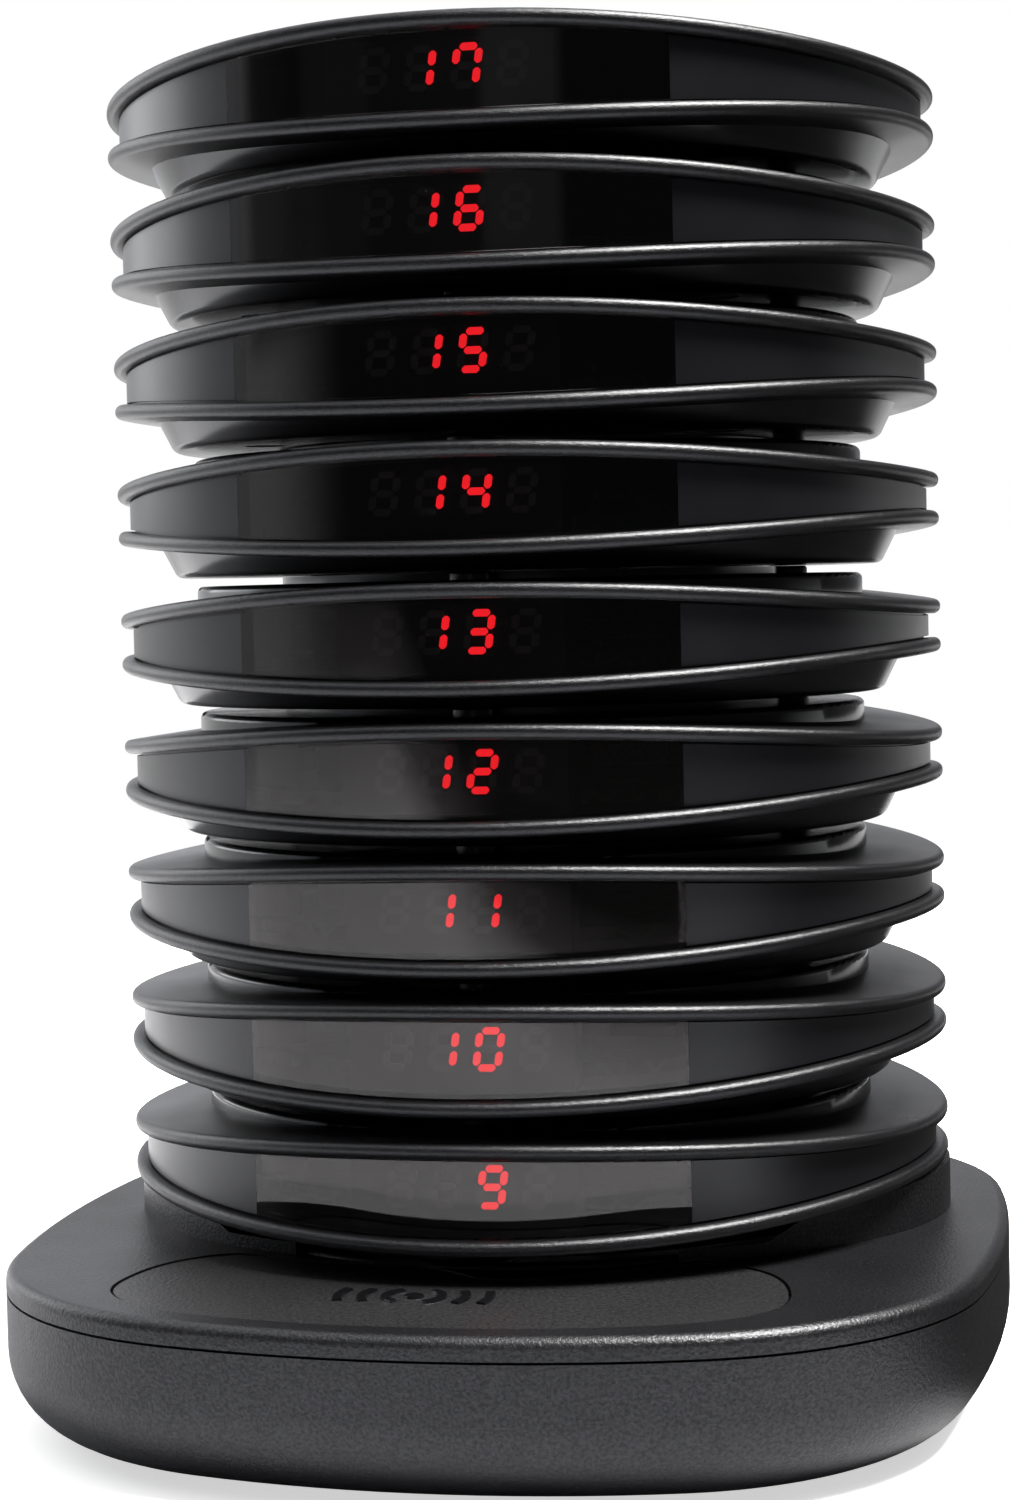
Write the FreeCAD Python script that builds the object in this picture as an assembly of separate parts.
"""Stack of nine round coaster pagers on their charging base. Millimetres, +Z up, the window side faces -Y.

The origin is on the surface the feet stand on, under the middle of the base. Pagers are numbered from the bottom
of the stack, 09 to 17. Every pager is drawn in its own frame, z = 0 at its underside, and then put on the stack.
"""
import FreeCAD, Part
import math
import os

V = FreeCAD.Vector

# ---- driving dimensions: the stack
FIRST_PAGER = 9
LAST_PAGER = 17
PITCH = 15.82               # height from one pager's underside to the next one's
STACK_Y = 11.2              # the stack's axis is behind the middle of the base, so that the backs are in line
REST_GAP = 0.05             # what touches when stacked is drawn this far apart

# ---- driving dimensions: one pager
LIP_R = 52.0                # both lips, half of the 104 mm diameter
LIP_T = 1.8
LIP_ROUND = 0.85
BAND_R = 50.5
BAND_T = 1.8
SEAM_R = 49.9               # bottom of the thin grooves above and below the band
SEAM_H = 0.3
UPPER_Z = 9.2               # band's top edge at the sides
UPPER_RISE = 3.39           # and how much higher it is at front and back
LOWER_Z = 6.43              # band's bottom edge at the sides
LOWER_DROP = 3.12           # and how much lower it is at front and back
DISC_R = 42.3               # flat disc on top
DISC_Z = 14.7
DISC_ROUND = 0.8
FOOT_R = 44.7               # underside
BOWL_R = 48.2               # underside's cone where it meets the lower lip
FOOT_ROUND = 1.2
WALL = 1.8
STUD_ORBIT = 36.0           # three stacking studs
STUD_R = 2.5
STEP_R = (28.5, 31.5)       # low ring on the disc, inside the studs
STEP_H = 0.95
WINDOW_HALF = 30.6          # degrees either side of the front

# ---- driving dimensions: inside one pager
BOARD_R = 40.0
BOARD_Z = 4.4
BOARD_T = 1.6
PILLAR_XY = (28.0, 23.0)
PILLAR_R = 3.2
SCREW_R = 1.1
HEAD_R = 2.4
HEAD_H = 1.2
RUNNING = 0.05              # radial clearance of what slides or turns in a hole
PIN_XY = (10.0, 6.0)
PIN_R = 1.0
PAD_R = 2.6
PAD_T = 0.6
MOTOR_R = 3.0
MOTOR_X = (4.0, 16.0)
MOTOR_YZ = (20.0, 9.5)
SHAFT_R = 0.5
WEIGHT_X = (16.8, 20.8)
WEIGHT_R = 2.9

# ---- driving dimensions: the base
HALF_W = 59.8
HALF_L = 63.5
FRONT_R = 111.0             # the plan's four bowed sides
SIDE_R = 194.0
CORNER_R = 39.5
FEET_H = 0.8
STACK_Z = 22.0              # underside of pager 09 above the table
TOP_Z = STACK_Z - 1.8
SEAM_Z = STACK_Z - 4.4
TUB_ROUND = 10.0
TUB_WALL = 2.4
COVER_ROUND = 1.4
NEST_Z = STACK_Z + DISC_Z - PITCH
WING_A = 52.2               # the nest's raised wings: an oval about the stack's axis
WING_B = 41.0
WING_INNER_R = 43.4
WING_CLEAR = 1.0            # round the pager's bowl
WING_GAP = 0.5              # below the pager's lower lip
BASE_PILLARS = [(43.0, -17.0), (43.0, 17.0)]
FOOT_PADS = [(34.0, -36.0), (34.0, 36.0)]
JACK_Z = 11.0
BADGE_X = -1.0
BADGE_DEPTH = 0.8
BADGE_SINK = 0.15
BADGE_GROOVE = 0.35


def cylinder(r, z0, z1, x=0.0, y=0.0):
    return Part.makeCylinder(r, z1 - z0, V(x, y, z0))


def block(x0, x1, y0, y1, z0, z1):
    return Part.makeBox(x1 - x0, y1 - y0, z1 - z0, V(x0, y0, z0))


def ring(r_out, r_in, z0, z1):
    return cylinder(r_out, z0, z1).cut(cylinder(r_in, z0, z1))


def round_edges(shape, radius, wanted):
    return shape.makeFillet(radius, [e for e in shape.Edges if wanted(e)])


def four_ways(xy):
    x, y = xy
    return [(sx * x, sy * y) for sx in (1, -1) for sy in (1, -1)]


def fuse(first, others):
    return first.multiFuse(list(others)).removeSplitter()


# ---- surfaces shared by the pager's shells: arcs in XZ, straight along Y
def arch_z(x, z_side, rise):
    """Height of an arch that is z_side at the lip's radius and z_side + rise in the middle."""
    return z_side + rise * (1 - (x / LIP_R) ** 2)


def arch_slab(z_low, rise_low, z_high, rise_high):
    """Everything between two arches, wider than the pager."""
    far = LIP_R + 4

    def arc(z_side, rise, way):
        ends = [V(x, -far, arch_z(x, z_side, rise)) for x in (-far * way, 0, far * way)]
        return Part.Arc(*ends).toShape()
    low, high = arc(z_low, rise_low, 1), arc(z_high, rise_high, -1)
    left = Part.makeLine(high.Vertexes[-1].Point, low.Vertexes[0].Point)
    right = Part.makeLine(low.Vertexes[-1].Point, high.Vertexes[0].Point)
    return Part.Face(Part.Wire([low, right, high, left])).extrude(V(0, 2 * far, 0))


def lip(z_side, rise):
    """One rounded lip: a curved disc, LIP_T thick, its underside at z_side."""
    disc = arch_slab(z_side, rise, z_side + LIP_T, rise).common(cylinder(LIP_R, -5, 25))
    return round_edges(disc, LIP_ROUND, lambda e: e.BoundBox.XMax > LIP_R - 0.1)


def window_wedge(half_angle):
    """Sector about the front, for cutting the band where the window is."""
    turn = math.radians(half_angle)
    far = 2 * LIP_R
    corner = [V(0, 0, -5), V(-far * math.sin(turn), -far * math.cos(turn), -5),
              V(far * math.sin(turn), -far * math.cos(turn), -5)]
    return Part.Face(Part.makePolygon(corner + corner[:1])).extrude(V(0, 0, 40))


# ---- one pager's pieces
def top_cover():
    disc = round_edges(cylinder(DISC_R, UPPER_Z + 1, DISC_Z), DISC_ROUND,
                       lambda e: e.BoundBox.ZMin > DISC_Z - 0.1)
    above = arch_slab(UPPER_Z, UPPER_RISE, UPPER_Z + 20, UPPER_RISE)
    shell = fuse(lip(UPPER_Z, UPPER_RISE), [disc.common(above)])
    shell = shell.cut(cylinder(DISC_R - WALL, UPPER_Z - 5, DISC_Z - WALL))
    pillars = [cylinder(PILLAR_R, BOARD_Z + BOARD_T, DISC_Z - 1, x, y) for x, y in four_ways(PILLAR_XY)]
    guides = [cylinder(PIN_R + 1.4, DISC_Z - 5, DISC_Z - 1, x, y) for x, y in four_ways(PIN_XY)]
    stud_top = PITCH - REST_GAP
    studs = []
    for turn in (-90, 30, 150):
        x = STUD_ORBIT * math.cos(math.radians(turn))
        y = STUD_ORBIT * math.sin(math.radians(turn))
        stud = cylinder(STUD_R, DISC_Z - 1, stud_top, x, y)
        studs.append(round_edges(stud, 0.4, lambda e: e.BoundBox.ZMin > stud_top - 0.1))
    step = ring(STEP_R[1], STEP_R[0], DISC_Z - 0.5, DISC_Z + STEP_H)
    shell = fuse(shell, pillars + guides + studs + [step])
    for x, y in four_ways(PILLAR_XY):
        shell = shell.cut(cylinder(SCREW_R + RUNNING, BOARD_Z, DISC_Z - WALL, x, y))
    for x, y in four_ways(PIN_XY):
        shell = shell.cut(cylinder(PIN_R + RUNNING, 0, DISC_Z + 1, x, y))
    return shell


def bottom_case():
    below = arch_slab(LOWER_Z - 20, -LOWER_DROP, LOWER_Z, -LOWER_DROP)
    bowl = Part.makeCone(FOOT_R, BOWL_R, LOWER_Z + 0.5)
    bowl = round_edges(bowl, FOOT_ROUND, lambda e: e.BoundBox.ZMax < 0.1)
    shell = fuse(lip(LOWER_Z - LIP_T, -LOWER_DROP), [bowl.common(below)])
    hollow = Part.makeCone(FOOT_R - WALL, BOWL_R - WALL, LOWER_Z + 0.5).common(
        block(-60, 60, -60, 60, WALL, LOWER_Z + 5))
    shell = shell.cut(hollow)
    pillars = [cylinder(PILLAR_R, WALL - 0.5, BOARD_Z, x, y) for x, y in four_ways(PILLAR_XY)]
    shell = fuse(shell, pillars)
    for x, y in four_ways(PILLAR_XY):
        shell = shell.cut(cylinder(SCREW_R + 0.2, -1, BOARD_Z + 1, x, y))
        shell = shell.cut(cylinder(HEAD_R + 0.2, -1, HEAD_H + 0.1, x, y))
    for x, y in four_ways(PIN_XY):
        shell = shell.cut(cylinder(PAD_R, -1, PAD_T, x, y))
    return shell


def band_ring():
    full = arch_slab(LOWER_Z, -LOWER_DROP, UPPER_Z, UPPER_RISE)
    inner = ring(SEAM_R, BAND_R - BAND_T, 0, 16).common(full)
    proud = arch_slab(LOWER_Z + SEAM_H, -LOWER_DROP, UPPER_Z - SEAM_H, UPPER_RISE)
    outer = ring(BAND_R, SEAM_R - 0.4, 0, 16).common(proud)
    return fuse(inner, [outer])


def side_band():
    return band_ring().cut(window_wedge(WINDOW_HALF))


def window_lens():
    return band_ring().common(window_wedge(WINDOW_HALF - 0.04))


def display_module():
    """Four-digit display block behind the window, with its pin row."""
    body = block(-13, 13, -46.4, -41.4, 4.0, 12.0)
    pins = [block(x - 0.3, x + 0.3, -41.4, -40.6, 4.2, 8.0) for x in range(-10, 11, 4)]
    return Part.makeCompound([body.multiFuse(pins)])


def main_board():
    board = cylinder(BOARD_R, BOARD_Z, BOARD_Z + BOARD_T)
    for x, y in four_ways(PILLAR_XY):
        board = board.cut(cylinder(SCREW_R + 0.3, 0, 20, x, y))
    top = BOARD_Z + BOARD_T
    radio_can = block(-8, 8, -36, -24, top, top + 2.6)
    processor = block(12, 20, -16, -8, top, top + 1.2)
    beeper = cylinder(6, top, top + 4.2, -20, -10).cut(cylinder(1, top + 1, top + 5, -20, -10))
    aerial = block(-33, -30.8, -10, 14, top, top + 3)
    return Part.makeCompound([board, radio_can, processor, beeper, aerial])


def battery():
    cell = block(-24, 1, 9, 35, BOARD_Z + BOARD_T + 0.05, 11.6)
    return round_edges(cell, 0.8, lambda e: abs(e.Vertexes[0].Z - e.Vertexes[-1].Z) > 1)


def along_x(r, x0, x1):
    y, z = MOTOR_YZ
    return Part.makeCylinder(r, x1 - x0, V(x0, y, z), V(1, 0, 0))


def vibration_motor():
    y, z = MOTOR_YZ
    can = along_x(MOTOR_R, *MOTOR_X)
    saddle = block(MOTOR_X[0] + 1, MOTOR_X[1] - 1, y - 3.4, y + 3.4, BOARD_Z + BOARD_T, z - 1.2)
    return fuse(can, [saddle]).cut(along_x(SHAFT_R + RUNNING, MOTOR_X[1] - 5, MOTOR_X[1] + 1))


def eccentric_weight():
    y, z = MOTOR_YZ
    half = along_x(WEIGHT_R, *WEIGHT_X).cut(block(0, 40, y - 5, y + 5, z + 0.9, z + 5))
    return fuse(half, [along_x(SHAFT_R, MOTOR_X[1] - 4.5, WEIGHT_X[1])])


def contact_pins(tip_z, length):
    """Four sprung charging pins with domed tips."""
    made = []
    for x, y in four_ways(PIN_XY):
        pin = cylinder(PIN_R, tip_z - length, tip_z, x, y)
        made.append(round_edges(pin, 0.6, lambda e: e.BoundBox.ZMin > tip_z - 0.1))
    return Part.makeCompound(made)


def contact_pads():
    return Part.makeCompound([cylinder(PAD_R - RUNNING, 0.02, PAD_T, x, y) for x, y in four_ways(PIN_XY)])


def case_screws():
    made = []
    for x, y in four_ways(PILLAR_XY):
        head = cylinder(HEAD_R, 0.1, HEAD_H + 0.1, x, y)
        shank = cylinder(SCREW_R, HEAD_H, DISC_Z - WALL - 1, x, y)
        slot = block(x - 1.5, x + 1.5, y - 0.3, y + 0.3, 0, 0.7)
        made.append(fuse(head, [shank]).cut(slot))
    return Part.makeCompound(made)


# ---- base
def plan_arcs(inset, z):
    """Closed wire of the base's plan, moved inwards by inset: four bowed sides and four corner arcs, all tangent."""
    front_r, side_r, corner_r = (r - inset for r in (FRONT_R, SIDE_R, CORNER_R))
    front_y = HALF_L - FRONT_R              # centres of the +Y and +X sides, on the axes
    side_x = HALF_W - SIDE_R
    # the corner's centre is front_r - corner_r from one and side_r - corner_r from the other
    to_front, to_side = front_r - corner_r, side_r - corner_r
    apart = math.hypot(side_x, front_y)
    along = (to_front ** 2 - to_side ** 2 + apart ** 2) / (2 * apart)
    off = math.sqrt(to_front ** 2 - along ** 2)
    ux, uy = side_x / apart, -front_y / apart
    cx = along * ux - off * uy
    cy = front_y + along * uy + off * ux
    if cx < 0:
        cx = along * ux + off * uy
        cy = front_y + along * uy - off * ux
    front_turn = math.atan2(cy - front_y, cx)
    side_turn = math.atan2(cy, cx - side_x)

    def arc(centre, r, a0, a1, flip_x, flip_y):
        pts = [V(flip_x * (centre[0] + r * math.cos(a)), flip_y * (centre[1] + r * math.sin(a)), z)
               for a in (a0, (a0 + a1) / 2, a1)]
        return Part.Arc(*pts).toShape()
    edges = []
    for flip_x in (1, -1):
        for flip_y in (1, -1):
            edges.append(arc((cx, cy), corner_r, front_turn, side_turn, flip_x, flip_y))
    for flip in (1, -1):
        edges.append(arc((0, front_y), front_r, front_turn, math.pi - front_turn, 1, flip))
        edges.append(arc((side_x, 0), side_r, side_turn, -side_turn, flip, 1))
    return Part.Wire(Part.__sortEdges__(edges))


def plan_solid(inset, z0, z1):
    return Part.Face(plan_arcs(inset, z0)).extrude(V(0, 0, z1 - z0))


def at_level(z):
    return lambda e: abs(e.BoundBox.ZMin - z) < 0.05 and abs(e.BoundBox.ZMax - z) < 0.05


def both_sides(places):
    return [(side * x, y) for x, y in places for side in (1, -1)]


def base_tub():
    outer = round_edges(plan_solid(0, FEET_H, SEAM_Z), TUB_ROUND, at_level(FEET_H))
    inner = round_edges(plan_solid(TUB_WALL, FEET_H + TUB_WALL, SEAM_Z + 1), TUB_ROUND - TUB_WALL,
                        at_level(FEET_H + TUB_WALL))
    tub = outer.cut(inner)
    groove = plan_solid(-1, SEAM_Z - SEAM_H, SEAM_Z + 1).cut(plan_solid(0.7, SEAM_Z - SEAM_H, SEAM_Z + 1))
    tub = tub.cut(groove)
    pillars = [cylinder(4, FEET_H + 1.5, SEAM_Z - 4, x, y) for x, y in both_sides(BASE_PILLARS)]
    posts = [cylinder(2.5, FEET_H + 1.5, 7, x, y) for x, y in both_sides([(32, -22), (32, 22)])]
    tub = fuse(tub, pillars + posts)
    for x, y in both_sides(BASE_PILLARS):
        tub = tub.cut(cylinder(1.7, 0, SEAM_Z, x, y)).cut(cylinder(3.2, 0, FEET_H + 3, x, y))
    for x, y in both_sides(FOOT_PADS):
        tub = tub.cut(cylinder(6.2, 0, FEET_H + 1, x, y))
    return tub.cut(Part.makeCylinder(4.0, 12, V(0, HALF_L - 8, JACK_Z), V(0, 1, 0)))


def badge_outline(z, inset=0.0):
    """Closed curve about the stack's axis: its back edge follows the pager, its front edge the base's rim."""
    half = [(22, -38.6), (29, -36.6), (35, -40.6), (38.4, -49), (38.3, -57), (33.5, -63.2), (22, -68.2)]
    outline = [V(0, -44.7, 0)] + [V(x, y, 0) for x, y in half] + [V(0, -70.7, 0)]
    outline += [V(-x, y, 0) for x, y in reversed(half)]
    moved = []
    for before, point, after in zip(outline[-1:] + outline[:-1], outline, outline[1:] + outline[:1]):
        along = (after - before).normalize()
        moved.append(point + V(along.y, -along.x, 0) * inset + V(BADGE_X, STACK_Y, z))
    curve = Part.BSplineCurve()
    curve.interpolate(moved, True)
    return Part.Wire(curve.toShape())


def wings():
    """Two raised crescents under the lowest pager's lifted sides. They run in under its foot at both ends."""
    oval = Part.Face(Part.Wire(Part.Ellipse(V(0, 0, 0), WING_A, WING_B).toShape())).extrude(V(0, 0, 12))
    oval.Placement = FreeCAD.Placement(V(0, STACK_Y, TOP_Z - 1), FreeCAD.Rotation())
    side = LOWER_Z - LIP_T - WING_GAP
    under_lip = arch_slab(side - 30, -LOWER_DROP, side, -LOWER_DROP)
    under_lip.translate(V(0, STACK_Y, STACK_Z))
    bowl = Part.makeCone(FOOT_R + WING_CLEAR, BOWL_R + WING_CLEAR, LOWER_Z + 0.5)
    bowl.translate(V(0, STACK_Y, STACK_Z - 0.3))
    return oval.common(under_lip).cut(bowl).cut(cylinder(WING_INNER_R, 0, 60, 0, STACK_Y))


def base_top_cover():
    slab = round_edges(plan_solid(0, SEAM_Z, TOP_Z), COVER_ROUND, at_level(TOP_Z))
    disc = cylinder(DISC_R, TOP_Z - 1, NEST_Z, 0, STACK_Y)
    disc = round_edges(disc, DISC_ROUND, at_level(NEST_Z))
    skirt = plan_solid(TUB_WALL + 0.1, SEAM_Z - 2, SEAM_Z + 0.5)
    skirt = skirt.cut(plan_solid(TUB_WALL + 1.7, SEAM_Z - 3, SEAM_Z + 1))
    pillars = [cylinder(4, SEAM_Z - 4, SEAM_Z + 1, x, y) for x, y in both_sides(BASE_PILLARS)]
    guides = [cylinder(PIN_R + 1.4, NEST_Z - 8, NEST_Z - 1, x, y + STACK_Y) for x, y in four_ways(PIN_XY)]
    studs = []
    for turn in (-90, 30, 150):
        x = STUD_ORBIT * math.cos(math.radians(turn))
        y = STUD_ORBIT * math.sin(math.radians(turn)) + STACK_Y
        studs.append(round_edges(cylinder(STUD_R, NEST_Z - 0.5, STACK_Z - REST_GAP, x, y), 0.4,
                                 at_level(STACK_Z - REST_GAP)))
    cover = fuse(slab, [disc, skirt] + wings().Solids + pillars + guides + studs)
    for x, y in four_ways(PIN_XY):
        cover = cover.cut(cylinder(PIN_R + RUNNING, 0, STACK_Z, x, y + STACK_Y))
    for x, y in both_sides(BASE_PILLARS):
        cover = cover.cut(cylinder(1.5 + RUNNING, 0, SEAM_Z + 0.8, x, y))
    floor_z = TOP_Z - BADGE_DEPTH
    return cover.cut(Part.Face(badge_outline(floor_z)).extrude(V(0, 0, 5)))


def base_badge_plate():
    floor_z = TOP_Z - BADGE_DEPTH
    plate = Part.Face(badge_outline(floor_z, BADGE_GROOVE))
    return plate.extrude(V(0, 0, BADGE_DEPTH - BADGE_SINK))


def base_rubber_feet():
    made = [cylinder(6.0, 0, FEET_H + 1, x, y) for x, y in both_sides(FOOT_PADS)]
    return Part.makeCompound([round_edges(foot, 0.4, at_level(0)) for foot in made])


def base_screws():
    made = []
    for x, y in both_sides(BASE_PILLARS):
        head = cylinder(2.9, FEET_H + 1, FEET_H + 3, x, y)
        shank = cylinder(1.5, FEET_H + 2, SEAM_Z, x, y)
        made.append(fuse(head, [shank]).cut(block(x - 2, x + 2, y - 0.4, y + 0.4, 0, FEET_H + 2)))
    return Part.makeCompound(made)


def base_charger_board():
    board = block(-37, 37, -28, 28, 7, 8.6)
    coil = cylinder(5, 8.6, 12.6, -22, -12)
    chips = [block(4, 12, -16, -8, 8.6, 10), block(-4, 6, 4, 12, 8.6, 10.2)]
    capacitors = [cylinder(3, 8.6, 14.4, x, -20) for x in (16, 24)]
    return Part.makeCompound([board, coil] + chips + capacitors)


def base_dc_jack():
    inside_y = HALF_L - TUB_WALL - 1.8
    body = block(-4.5, 4.5, inside_y - 13, inside_y, JACK_Z - 4.5, JACK_Z + 4.5)
    sleeve = Part.makeCylinder(3.9, HALF_L - 0.5 - inside_y, V(0, inside_y, JACK_Z), V(0, 1, 0))
    bore = Part.makeCylinder(3.2, 20, V(0, inside_y - 9, JACK_Z), V(0, 1, 0))
    pin = Part.makeCylinder(1.0, 9.5, V(0, inside_y - 9.5, JACK_Z), V(0, 1, 0))
    return fuse(fuse(body, [sleeve]).cut(bore), [pin])


# ---- writing the nodes
def write(node, shape):
    shape.exportStep("parts/" + node + ".step")


def write_pager(number, pieces):
    level = STACK_Z + (number - FIRST_PAGER) * PITCH
    for name, shape in pieces.items():
        placed = shape.copy()
        placed.translate(V(0, STACK_Y, level))
        write("pager_%02d_%s" % (number, name), placed)


os.makedirs("parts", exist_ok=True)

base = {
    "base_tub": base_tub(),
    "base_top_cover": base_top_cover(),
    "base_badge_plate": base_badge_plate(),
    "base_rubber_feet": base_rubber_feet(),
    "base_screws": base_screws(),
    "base_charger_board": base_charger_board(),
    "base_contact_pins": contact_pins(0, 10),
    "base_dc_jack": base_dc_jack(),
}
base["base_contact_pins"].translate(V(0, STACK_Y, STACK_Z - REST_GAP))
for name, shape in base.items():
    write(name, shape)

shells = {
    "top_cover": top_cover(),
    "bottom_case": bottom_case(),
    "side_band": side_band(),
    "window_lens": window_lens(),
}
inside = {
    "display_module": display_module(),
    "main_board": main_board(),
    "battery": battery(),
    "vibration_motor": vibration_motor(),
    "eccentric_weight": eccentric_weight(),
    "contact_pins": contact_pins(PITCH - REST_GAP, 7),
    "contact_pads": contact_pads(),
    "case_screws": case_screws(),
}
electronics = Part.makeCompound([solid for shape in inside.values() for solid in shape.Solids])

for number in range(FIRST_PAGER, LAST_PAGER):
    write_pager(number, dict(shells, electronics=electronics))
write_pager(LAST_PAGER, dict(shells, **inside))
